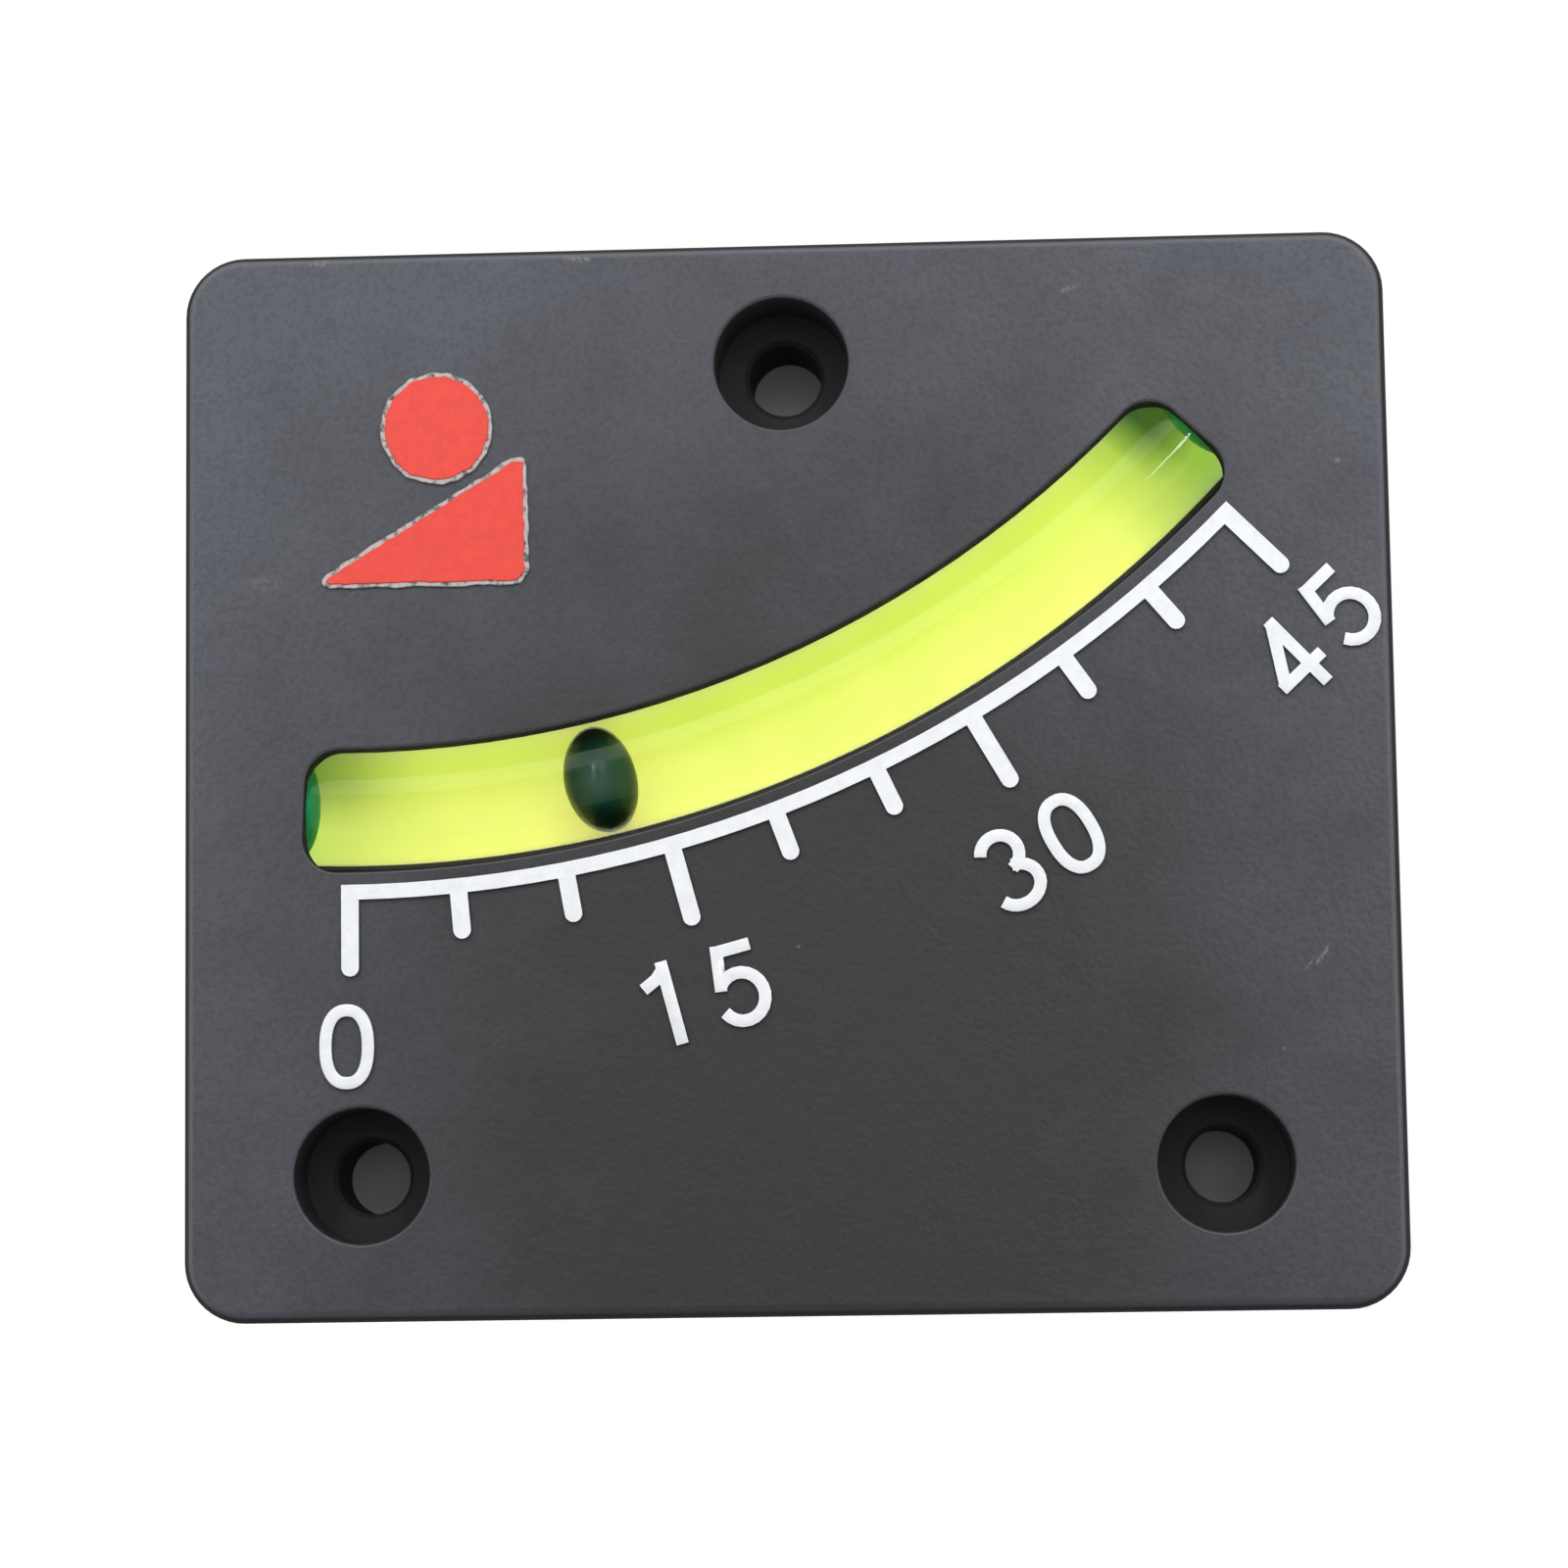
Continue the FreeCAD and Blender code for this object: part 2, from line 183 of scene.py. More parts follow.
def scuff_share(tree):
    """How much of each point on the face is scuffed."""
    broken = spread(tree, clouds(tree, 0.35 * mm, 4.0, 0.7), 0.42, 0.56, 0.0, 1.0)
    total = None
    for x, z, reach, width, turn, strength in scuffs:
        inputs = {
            "Vector": place_on_piece(tree),
            "Location": (x * mm, face_depth, z * mm),
            "Rotation": (0, -math.radians(turn), 0),
            "Scale": (reach * mm, 1.5 * mm, width * mm),
        }
        moved = add_node(tree, "ShaderNodeMapping", inputs, vector_type="TEXTURE").outputs[0]
        far = add_node(tree, "ShaderNodeVectorMath", {0: moved}, operation="LENGTH").outputs[1]
        mark = spread(tree, far, 0.5, 1.0, strength, 0.0)
        total = mark if total is None else reckon(tree, "MAXIMUM", total, mark)
    return reckon(tree, "MULTIPLY", total, broken)


def painted_sheen_share(tree):
    """Painted sheen: how much paler each point is painted, least below the middle, most at the top corners."""
    inputs = {
        "Vector": place_on_piece(tree),
        "Location": (-3.5 * mm, 0, 17 * mm),
        "Scale": (1.0, 0.0, 0.85),
    }
    moved = add_node(tree, "ShaderNodeMapping", inputs, vector_type="POINT").outputs[0]
    far = add_node(tree, "ShaderNodeVectorMath", {0: moved}, operation="LENGTH").outputs[1]
    patches = clouds(tree, 2 * sheen_patch, 4.0, 0.6)
    patchy = spread(tree, patches, 0.3, 0.7, -sheen_patch, sheen_patch)
    return spread(tree, reckon(tree, "ADD", far, patchy), sheen_near, sheen_far, 0.0, 1.0)


def edge_shares(tree):
    """A painted highlight along the edges of the face and its holes, least at the foot, and painted shade on the
    walls below the face.
    """
    _, y, z = place_parts(tree)
    above_foot = spread(tree, z, *foot_levels, 0.1, 0.6)
    rubbed = spread(tree, y, *edge_highlight_levels, 0.0, 1.0)
    return reckon(tree, "MULTIPLY", rubbed, above_foot), spread(tree, y, *side_levels, 0.0, 1.0)


def on_scale(tree):
    """The angle on the scale, in degrees, and how far out from the vial's line, in metres."""
    away = {0: place_on_piece(tree), 1: arc_centre}
    away = add_node(tree, "ShaderNodeVectorMath", away, operation="SUBTRACT").outputs[0]
    x, _, z = add_node(tree, "ShaderNodeSeparateXYZ", {0: away}).outputs
    turn = reckon(tree, "ARCTAN2", x, reckon(tree, "MULTIPLY", z, -1.0))
    flat = add_node(tree, "ShaderNodeCombineXYZ", {0: x, 2: z}).outputs[0]
    reach = add_node(tree, "ShaderNodeVectorMath", {0: flat}, operation="LENGTH").outputs[1]
    return reckon(tree, "DEGREES", turn), reckon(tree, "SUBTRACT", reach, path_radius)


def window_wall_shade_share(tree):
    """Painted shade: one on the walls of the window, where little light reaches, and else none."""
    _, y, _ = place_parts(tree)
    share = spread(tree, y, *wall_levels, 0.0, 1.0)
    angle, off_line = on_scale(tree)
    off_middle = reckon(tree, "SUBTRACT", angle, scale_end / 2)
    for away, reach, fade in (
        (off_line, window_half_width, 0.4 * mm), (off_middle, window_half_turn, 0.5),
    ):
        near = spread(tree, reckon(tree, "ABSOLUTE", away), reach, reach + fade, 1.0, 0.0)
        share = reckon(tree, "MULTIPLY", share, near)
    return share


def moulded_plastic(name, dark, pale, scuffs_and_painted_light):
    """Moulded plastic: pebbled grain with painted shade in its hollows, faint flow marks, a painted sheen and, on
    the face, scuffs, a painted edge highlight and painted shade on the walls.
    """
    made, tree, shader = start_finish(name, dark, 0.5)
    shader.inputs["Specular IOR Level"].default_value = housing_gloss
    # Painted sheen: paler towards the top corners, where the light falls on the face.
    colour = tint(tree, painted_sheen_share(tree), dark, pale)
    pebbles = clouds(tree, pebble_size, 2.0, 0.45)
    # Painted shade: the hollows of the grain are painted darker.
    shaded_hollows = spread(tree, pebbles, 0.36, 0.54, 0.78, 1.0)
    colour = tint(tree, shaded_hollows, hollow_shade_black, colour)
    roughness = spread(tree, clouds(tree, 5 * mm, 3.0), 0.35, 0.7, 0.43, 0.55)
    if scuffs_and_painted_light:
        marks = scuff_share(tree)
        colour = tint(tree, marks, colour, scuff_grey)
        roughness = reckon(tree, "ADD", roughness, reckon(tree, "MULTIPLY", marks, 0.3))
        # Painted highlight along the edges of the face and its holes, weaker at the foot.
        rubbed, side = edge_shares(tree)
        colour = tint(tree, rubbed, colour, edge_highlight_grey)
        # Painted shade: darker, duller walls below the face, darkest on the window's walls.
        for share, grey, dullness in (
            (side, side_shade_grey, side_roughness),
            (window_wall_shade_share(tree), window_shade_black, deep_roughness),
        ):
            colour = tint(tree, share, colour, grey)
            dull = reckon(tree, "MULTIPLY", share, dullness)
            roughness = reckon(tree, "MAXIMUM", roughness, dull)
    ripple = relief(tree, clouds(tree, ripple_size, 1.0), ripple_height)
    grain = relief(tree, pebbles, pebble_height, ripple)
    feed(tree, shader, Base_Color=colour, Roughness=roughness, Normal=grain)
    return made


housing_plastic = moulded_plastic("housing_plastic", housing_grey, housing_grey_sheen, True)
parts["front_housing"].material_slots[0].material = housing_plastic

# Scale: a white film, hot-stamped on the raised strokes of the comb. Its edge is a little broken
# and its surface dull, with a few chips where the dark plastic shows.
film_white = (0.92, 0.94, 0.97)
film_white_dull = (0.85, 0.87, 0.91)
film_chip = (0.12, 0.12, 0.13)
film_gloss = 0.33


def stamped_film(name, clean, dull, chip, bare_share):
    """Stamped film: mottled, finely wrinkled, and chipped where the noise runs high."""
    made, tree, shader = start_finish(name, clean, 0.5)
    shader.inputs["Specular IOR Level"].default_value = film_gloss
    mottle = spread(tree, clouds(tree, 1.1 * mm, 4.0, 0.6), 0.40, 0.66, 0.0, 1.0)
    colour = tint(tree, mottle, clean, dull)
    flecks = clouds(tree, 0.45 * mm, 4.0, 0.65)
    bare = spread(tree, flecks, 0.74 - bare_share, 0.78 - bare_share, 0.0, 0.85)
    colour = tint(tree, bare, colour, chip)
    roughness = spread(tree, flecks, 0.3, 0.7, 0.42, 0.62)
    wrinkles = relief(tree, clouds(tree, 0.25 * mm, 2.0), 0.02 * mm)
    feed(tree, shader, Base_Color=colour, Roughness=roughness, Normal=wrinkles)
    return made


white_film = stamped_film("white_film", film_white, film_white_dull, film_chip, -0.01)
parts["scale_film"].material_slots[0].material = white_film

# Numerals: 0, 15, 30 and 45, raised on a wider arc below the ticks, with the film stamped on top.
# Each is given by its tilt, its reach from the arc's centre in mm, and its figures with their
# angles. The strokes of a figure are drawn in mm about its middle, all of one width.
face_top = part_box("scale_film")[0].y
film_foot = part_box("scale_film")[1].y
figure_half_height = 2.69
figure_half_width = 1.58
stroke_width = 0.91 * mm
stroke_sunk = 0.05 * mm
soft_edge = 0.05 * mm
numerals = [
    ("numeral_0", 0.0, 103.82, [("0", -0.15)]),
    ("numeral_15", 14.65, 103.75, [("1", 12.96), ("5", 16.12)]),
    ("numeral_30", 29.5, 103.80, [("3", 28.10), ("0", 31.00)]),
    ("numeral_45", 43.4, 103.45, [("4", 42.47), ("5", 45.46)]),
]


def arc_points(x, z, reach_x, reach_z, start, end, count=18):
    """Points along part of an ellipse, from one angle to another."""
    points = []
    for number in range(count + 1):
        turn = math.radians(start + (end - start) * number / count)
        points.append((x + reach_x * math.cos(turn), z + reach_z * math.sin(turn)))
    return points


def oval_points(squareness_share=0.85, count=40):
    """Points round the figure 0, a little squarer than an ellipse."""
    points = []
    for number in range(count):
        turn = 2 * math.pi * number / count
        wide = math.copysign(abs(math.cos(turn)) ** squareness_share, math.cos(turn))
        tall = math.copysign(abs(math.sin(turn)) ** squareness_share, math.sin(turn))
        points.append((figure_half_width * wide, figure_half_height * tall))
    return points


top = figure_half_height
tip = figure_half_height + stroke_width / mm / 2
figure_strokes = {
    "0": [oval_points()],
    "1": [[(0.55, -tip), (0.55, tip)], [(0.55, 2.55), (-0.1, 1.95), (-1.2, 1.45)]],
    "3": [
        arc_points(-0.1, 1.35, 1.45, 1.4, 158, -78),
        arc_points(-0.05, -1.25, 1.7, 1.5, 80, -158),
    ],
    "4": [
        [(0.75, -tip), (0.75, tip)],
        [(0.75, 2.75), (-1.75, -1.25)],
        [(-2.1, -1.25), (2.0, -1.25)],
    ],
    "5": [
        [(1.5, top), (-1.1, top)],
        [(-0.95, tip), (-1.42, -0.2)],
        arc_points(-0.02, -0.95, 1.7, 1.8, 143, -153),
    ],
}


def onto_face(x, z, tilt):
    """Carries a drawing of right, up and out to a place on the plate's face, turned by a tilt."""
    right = Vector((math.cos(tilt), 0, math.sin(tilt)))
    up = Vector((-math.sin(tilt), 0, math.cos(tilt)))
    out = Vector((0, -1, 0))
    turn = Matrix((right, up, out)).transposed().to_4x4()
    return Matrix.Translation((x, face_depth, z)) @ turn


def below_arc(reach, angle):
    """The X and Z of a point at a reach from the arc's centre and an angle of the scale."""
    turn = math.radians(angle)
    return arc_centre.x + reach * math.sin(turn), arc_centre.z - reach * math.cos(turn)


def new_piece(name, shape, finishes, sharp_angle=35):
    """A piece from a finished shape: its faces turned outwards, smooth between sharp edges."""
    bmesh.ops.recalc_face_normals(shape, faces=shape.faces)
    mesh = bpy.data.meshes.new(name)
    shape.to_mesh(mesh)
    shape.free()
    mesh.shade_smooth()
    mesh.set_sharp_from_angle(angle=math.radians(sharp_angle))
    for finish in finishes:
        mesh.materials.append(finish)
    piece = bpy.data.objects.new(name, mesh)
    bpy.context.scene.collection.objects.link(piece)
    return piece


def settle(piece):
    """Turns a piece's modifiers into its mesh."""
    bpy.context.view_layer.update()
    ready = piece.evaluated_get(bpy.context.evaluated_depsgraph_get())
    mesh = bpy.data.meshes.new_from_object(ready)
    piece.modifiers.clear()
    piece.data = mesh


def join_pieces(pieces):
    """Fuses closed pieces that overlap into the first of them."""
    whole = pieces[0]
    for other in pieces[1:]:
        weld = whole.modifiers.new("weld", "BOOLEAN")
        weld.operation = "UNION"
        weld.solver = "EXACT"
        weld.object = other
    settle(whole)
    for other in pieces[1:]:
        bpy.data.objects.remove(other)
    return whole


def stroke(points, closed, place):
    """One stroke: a wall along its line, from just inside the face up to the film's top."""
    shape = bmesh.new()
    line = [shape.verts.new(place @ Vector((u * mm, v * mm, -stroke_sunk))) for u, v in points]
    pairs = list(zip(line, line[1:]))
    if closed:
        pairs.append((line[-1], line[0]))
    edges = [shape.edges.new(pair) for pair in pairs]
    foot = face_depth + stroke_sunk
    for level in (film_foot, face_top):
        grown = bmesh.ops.extrude_edge_only(shape, edges=edges)["geom"]
        raised = [item for item in grown if isinstance(item, bmesh.types.BMVert)]
        bmesh.ops.translate(shape, verts=raised, vec=(0, level - foot, 0))
        edges = [item for item in grown if isinstance(item, bmesh.types.BMEdge)]
        edges = [edge for edge in edges if all(vert in raised for vert in edge.verts)]
        foot = level
    made = new_piece("stroke", shape, [housing_plastic, white_film])
    wall = made.modifiers.new("width", "SOLIDIFY")
    wall.thickness = stroke_width
    wall.offset = 0
    wall.use_even_offset = True
    settle(made)
    return made


def soften_edges(piece, sharp_angle):
    """Takes the sharp edges off a raised piece."""
    edges = piece.modifiers.new("edges", "BEVEL")
    edges.width = soft_edge
    edges.segments = 2
    edges.limit_method = "ANGLE"
    edges.angle_limit = math.radians(sharp_angle)
    settle(piece)


for name, tilt, reach, figures in numerals:
    strokes = []
    for figure, angle in figures:
        x, z = below_arc(reach * mm, angle)
        place = onto_face(x, z, math.radians(tilt))
        for line in figure_strokes[figure]:
            strokes.append(stroke(line, figure == "0", place))
    numeral = join_pieces(strokes)
    numeral.name = name
    soften_edges(numeral, 50)
    for face in numeral.data.polygons:
        face.material_index = 1 if face.center.y < film_foot else 0
    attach(numeral, "housing")

# Emblem: a plain sign for a slope, a ball over a wedge, raised out of the plate. The red film is
# stamped on top of it, a little smaller than its foot, so a worn grey rim shows all round.
emblem_place = onto_face(-27.1 * mm, 22.7 * mm, 0)
wedge_corners = [(-7.7, -7.9), (7.7, -7.9), (7.7, 1.5)]
wedge_round = 0.9 * mm
disc_centre = (1.2, 3.75)
disc_radius = 3.9
rim_width = 0.32
rough_edge = 0.16 * mm
rough_size = 0.8 * mm
rough_draw = 1795988047
film_red = (0.86, 0.045, 0.022)
film_red_dull = (0.76, 0.042, 0.024)
film_red_chip = (0.40, 0.03, 0.03)
worn_rim_pale = (0.50, 0.44, 0.43)
worn_rim_dark = (0.03, 0.03, 0.03)
red_film = stamped_film("red_film", film_red, film_red_dull, film_red_chip, 0.03)


def worn_rim():
    """Plastic with scraps of film and rubbed places, pale on dark."""
    made, tree, shader = start_finish("worn_rim", worn_rim_dark, 0.6)
    scraps = spread(tree, clouds(tree, 0.6 * mm, 5.0, 0.7), 0.38, 0.52, 0.0, 1.0)
    colour = tint(tree, scraps, worn_rim_dark, worn_rim_pale)
    grain = relief(tree, clouds(tree, 0.3 * mm, 3.0), 0.04 * mm)
    feed(tree, shader, Base_Color=colour, Normal=grain)
    return made


def raised_patch(name, outline, low, high, finish):
    """A flat patch with a ragged outline, from one level of the face up to another."""
    edges = [edge for edge in outline.edges if edge.calc_length() > 0.6 * mm]
    bmesh.ops.subdivide_edges(outline, edges=edges, cuts=24)
    for vert in outline.verts:
        stray = noise.noise_vector(vert.co / rough_size) * rough_edge
        vert.co += Vector((stray.x, stray.y, 0))
    face = outline.faces[:]
    grown = bmesh.ops.extrude_face_region(outline, geom=face)["geom"]
    top_verts = [item for item in grown if isinstance(item, bmesh.types.BMVert)]
    bmesh.ops.translate(outline, verts=top_verts, vec=(0, 0, face_depth - high))
    foot_verts = [vert for vert in outline.verts if vert not in top_verts]
    bmesh.ops.translate(outline, verts=foot_verts, vec=(0, 0, face_depth - low))
    bmesh.ops.transform(outline, matrix=emblem_place, verts=outline.verts)
    piece = new_piece(name, outline, [finish])
    soften_edges(piece, 60)
    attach(piece, "housing")
    return piece


def wedge_outline(grown):
    """The wedge's outline, with rounded corners, grown or drawn in all round."""
    shape = bmesh.new()
    verts = [shape.verts.new((x * mm, z * mm, 0)) for x, z in wedge_corners]
    shape.faces.new(verts)
    bmesh.ops.bevel(
        shape, geom=verts, offset=wedge_round, offset_type="OFFSET", segments=6,
        profile=0.5, affect="VERTICES", material=-1,
    )
    moves = []
    for vert in shape.verts:
        sides = [(edge.other_vert(vert).co - vert.co).normalized() for edge in vert.link_edges]
        moves.append((vert, -(sides[0] + sides[1]).normalized() * grown))
    for vert, move in moves:
        vert.co += move
    return shape


def disc_outline(radius):
    """The disc's outline."""
    shape = bmesh.new()
    place = Matrix.Translation((disc_centre[0] * mm, disc_centre[1] * mm, 0))
    bmesh.ops.create_circle(shape, cap_ends=True, segments=96, radius=radius, matrix=place)
    return shape


# The noise would otherwise start from the clock, and the ragged edges would change with each run.
noise.seed_set(rough_draw)
rim_finish = worn_rim()
emblem_pieces = [
    raised_patch("emblem_wedge_foot", wedge_outline(rim_width * mm), face_depth + stroke_sunk,
                 film_foot, rim_finish),
    raised_patch("emblem_disc_foot", disc_outline((disc_radius + rim_width) * mm),
                 face_depth + stroke_sunk, film_foot, rim_finish),
]
raised_patch("emblem_wedge_film", wedge_outline(0), film_foot, face_top, red_film)
raised_patch("emblem_disc_film", disc_outline(disc_radius * mm), film_foot, face_top, red_film)

# Vial: a clear tube, bent to the arc and polished. The back of its bore is fired with a stripe of
# white enamel, as on a thermometer, given a painted yellow-green glow and painted shade: dimmer and
# greener along its top, yellower along its bottom, darkest at its ends. Light bends at its outside
# only, because the fluid in the bore bends light as the tube does.
vial_radius = 4.4 * mm
vial_overreach = 7.75 * mm
vial_sides = 64
vial_steps = 150
glass_bend = 1.495
glass_tint = (0.97, 0.98, 0.97)
wet_tint = (0.985, 0.992, 0.98)
glass_shine = (0.30, 0.30, 0.30)
stripe_low = -45
stripe_high = 59
# The enamel's painted glow and painted shade, zone by zone: top, bottom, ends and the upper corners of the ends.
enamel_white = (0.90, 0.90, 0.88)
enamel_upper_shade = (0.72, 0.80, 0.45)
enamel_lower_shade = (0.88, 0.90, 0.60)
enamel_end_shade = (0.15, 0.38, 0.12)
enamel_deep_shade = (0.01, 0.08, 0.03)
painted_glow_full = (0.96, 0.74, 0.74)
painted_glow_upper = (0.76, 0.76, 0.34)
painted_glow_lower = (0.94, 0.78, 0.34)
painted_glow_end = (0.44, 0.60, 0.24)
painted_glow_deep = (0.03, 0.11, 0.05)
painted_glow_strength = 0.72
upper_part = (-1.7 * mm, -0.2 * mm)
lower_part = (0.7 * mm, 1.8 * mm)
left_part = (-3.0, 5.5)
right_part = (41.0, 46.5)
deep_high_part = (-1.1 * mm, 0.5 * mm)
deep_left_part = (-4.5, 2.8)
deep_right_part = (43.9, 46.1)


def degrees_of(length):
    """The angle that a length takes up along the vial's centre line."""
    return math.degrees(length / path_radius)


def ring_at(shape, radius, angle):
    """A ring of edges across the vial, at an angle of the scale."""
    x, z = below_arc(path_radius, angle)
    turn = Matrix.Rotation(-math.radians(angle), 4, "Y") @ Matrix.Rotation(math.pi / 2, 4, "Y")
    place = Matrix.Translation((x, arc_centre.y, z)) @ turn
    made = bmesh.ops.create_circle(shape, segments=vial_sides, radius=radius, matrix=place)
    return list({edge for vert in made["verts"] for edge in vert.link_edges})


def swing(shape, edges, angle):
    """Sweeps edges along the arc, and gives the edges that they end at."""
    swept = bmesh.ops.spin(
        shape, geom=edges, cent=arc_centre, axis=(0, -1, 0), angle=math.radians(angle),
        steps=vial_steps, use_merge=False,
    )
    return [item for item in swept["geom_last"] if isinstance(item, bmesh.types.BMEdge)]


def see_through(tree, colour):
    """A shader that lets light straight through, tinted by a colour."""
    value = (*colour, 1) if isinstance(colour, tuple) else colour
    return add_node(tree, "ShaderNodeBsdfTransparent", {"Color": value}).outputs[0]


def clear_glass():
    """Polished glass for the eye, and a clear way for the light of lamps and bright surfaces."""
    made, tree, shader = start_finish("vial_glass", (1, 1, 1), 0.0)
    shader.inputs["Transmission Weight"].default_value = 1.0
    shader.inputs["IOR"].default_value = glass_bend
    shader.inputs["Specular Tint"].default_value = (*glass_shine, 1)
    smears = spread(tree, clouds(tree, 4 * mm, 3.0), 0.5, 0.75, 0.0, 0.035)
    feed(tree, shader, Roughness=smears)
    ray = add_node(tree, "ShaderNodeLightPath")
    lit = reckon(tree, "MAXIMUM", ray.outputs["Is Shadow Ray"], ray.outputs["Is Diffuse Ray"])
    inputs = {0: lit, 1: shader.outputs[0], 2: see_through(tree, glass_tint)}
    either = add_node(tree, "ShaderNodeMixShader", inputs).outputs[0]
    tree.links.new(either, tree.nodes["Material Output"].inputs["Surface"])
    return made


def wetted_bore():
    """The bore's wall: wet with fluid, so it neither bends light nor shines."""
    made, tree, shader = start_finish("wet_bore", (1, 1, 1), 0.0)
    haze = spread(tree, clouds(tree, 6 * mm, 2.0), 0.3, 0.7, 0.0, 1.0)
    colour = tint(tree, haze, (1.0, 1.0, 1.0), wet_tint)
    tree.links.new(see_through(tree, colour), tree.nodes["Material Output"].inputs["Surface"])
    tree.nodes.remove(shader)
    return made


def enamel_painted_glow():
    """Enamel with a painted glow and painted shade: dimmer along its top, yellower along its bottom, darkest at
    its ends.
    """
    made, tree, shader = start_finish("enamel_painted_glow", enamel_white, 0.6)
    angle, outward = on_scale(tree)
    upper = spread(tree, outward, *upper_part, 1.0, 0.0)
    lower = spread(tree, outward, *lower_part, 0.0, 1.0)
    left = spread(tree, angle, *left_part, 0.42, 0.0)
    right = spread(tree, angle, *right_part, 0.0, 1.0)
    streaks = spread(tree, clouds(tree, 3 * mm, 3.0), 0.3, 0.7, -0.06, 0.06)
    ends = reckon(tree, "ADD", reckon(tree, "MAXIMUM", left, right), streaks)
    ends = spread(tree, ends, 0.0, 1.0, 0.0, 1.0)
    left = spread(tree, angle, *deep_left_part, 1.0, 0.0)
    right = spread(tree, angle, *deep_right_part, 0.0, 1.0)
    high = spread(tree, outward, *deep_high_part, 1.0, 0.0)
    deep = reckon(tree, "MULTIPLY", high, reckon(tree, "MAXIMUM", left, right))
    colour, glow = enamel_white, painted_glow_full
    for share, next_colour, next_glow in (
        (upper, enamel_upper_shade, painted_glow_upper), (lower, enamel_lower_shade, painted_glow_lower),
        (ends, enamel_end_shade, painted_glow_end), (deep, enamel_deep_shade, painted_glow_deep),
    ):
        colour = tint(tree, share, colour, next_colour)
        glow = tint(tree, share, glow, next_glow)
    shader.inputs["Emission Strength"].default_value = painted_glow_strength
    feed(tree, shader, Base_Color=colour, Emission_Color=glow)
    return made


vial_start = -degrees_of(vial_overreach)
vial_turn = scale_end - 2 * vial_start
shape = bmesh.new()
outside = ring_at(shape, vial_radius, vial_start)
bore = ring_at(shape, bore_radius, vial_start)
outside_end = swing(shape, outside, vial_turn)
bore_end = swing(shape, bore, vial_turn)
bmesh.ops.bridge_loops(shape, edges=outside + bore)
bmesh.ops.bridge_loops(shape, edges=outside_end + bore_end)
vial = new_piece("vial", shape, [clear_glass(), wetted_bore(), enamel_painted_glow()])
for face in vial.data.polygons:
    from_axis = Vector((face.center.x - arc_centre.x, 0, face.center.z - arc_centre.z))
    inward, back = path_radius - from_axis.length, face.center.y - arc_centre.y
    if math.hypot(inward, back) < bore_radius * 1.01:
        in_stripe = stripe_low < math.degrees(math.atan2(inward, back)) < stripe_high
        face.material_index = 2 if in_stripe else 1
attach(vial, "housing")
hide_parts("vial_tube")

# Fluid: a clear damping oil with a fluorescent yellow-green dye that soaks up blue, and a painted
# yellow-green glow of its own. It fills the bore from plug to plug and closes in behind the ball as
# it rolls, so it is one whole filling.
fluid_gap = 0.02 * mm
nose_overreach = ball_radius + 0.15 * mm
dome_radius = 3.1 * mm
dome_turn = math.asin((bore_radius - fluid_gap) / dome_radius)
dome_steps = (1.0, 0.86, 0.72, 0.58, 0.44, 0.30, 0.16)
dye_absorbs = (0.846, 0.979, 0.044)
dye_density = 250.0
# Painted glow: the fluid gives off light of its own.
fluid_painted_glow = (0.96, 0.80, 0.30)
fluid_glow_strength = 8.0
swirl_tint = (0.97, 0.99, 0.95)


def dyed_fluid():
    """Clear fluid that soaks up blue, with a painted yellow-green glow of its own."""
    made, tree, shader = start_finish("dyed_fluid", (1, 1, 1), 0.0)
    tree.nodes.remove(shader)
    swirls = spread(tree, clouds(tree, 5 * mm, 2.0), 0.35, 0.7, 0.0, 1.0)
    colour = tint(tree, swirls, (1.0, 1.0, 1.0), swirl_tint)
    out = tree.nodes["Material Output"]
    tree.links.new(see_through(tree, colour), out.inputs["Surface"])
    inputs = {"Color": (*dye_absorbs, 1), "Density": dye_density}
    soaked = add_node(tree, "ShaderNodeVolumeAbsorption", inputs).outputs[0]
    inputs = {"Color": (*fluid_painted_glow, 1), "Strength": fluid_glow_strength}
    glow = add_node(tree, "ShaderNodeEmission", inputs).outputs[0]
    both = add_node(tree, "ShaderNodeAddShader", {0: soaked, 1: glow}).outputs[0]
    tree.links.new(both, out.inputs["Volume"])
    return made


def past_scale(side, overreach):
    """The angle of a point that lies past an end of the scale: 0 on the left, 45 on the right."""
    return scale_end + degrees_of(overreach) if side == "right" else -degrees_of(overreach)


def add_dome(shape, edge_loop, side, gap, steps):
    """Closes a tube's end with the plug's domed nose, which points into the bore."""
    for step in steps:
        turn = dome_turn * step
        overreach = nose_overreach - gap + dome_radius * (1 - math.cos(turn))
        ring = ring_at(shape, dome_radius * math.sin(turn) + gap, past_scale(side, overreach))
        bmesh.ops.bridge_loops(shape, edges=edge_loop + ring)
        edge_loop = ring
    bmesh.ops.contextual_create(shape, geom=edge_loop)


dome_foot = dome_radius * (1 - math.cos(dome_turn * dome_steps[1]))
first = past_scale("left", nose_overreach + dome_foot)
shape = bmesh.new()
left_loop = ring_at(shape, bore_radius - fluid_gap, first)
right_loop = swing(shape, left_loop, scale_end - 2 * first)
add_dome(shape, left_loop, "left", fluid_gap, dome_steps[1:])
add_dome(shape, right_loop, "right", fluid_gap, dome_steps[1:])
fluid = new_piece("fluid", shape, [dyed_fluid()])
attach(fluid, "housing")
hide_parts("damping_fluid")

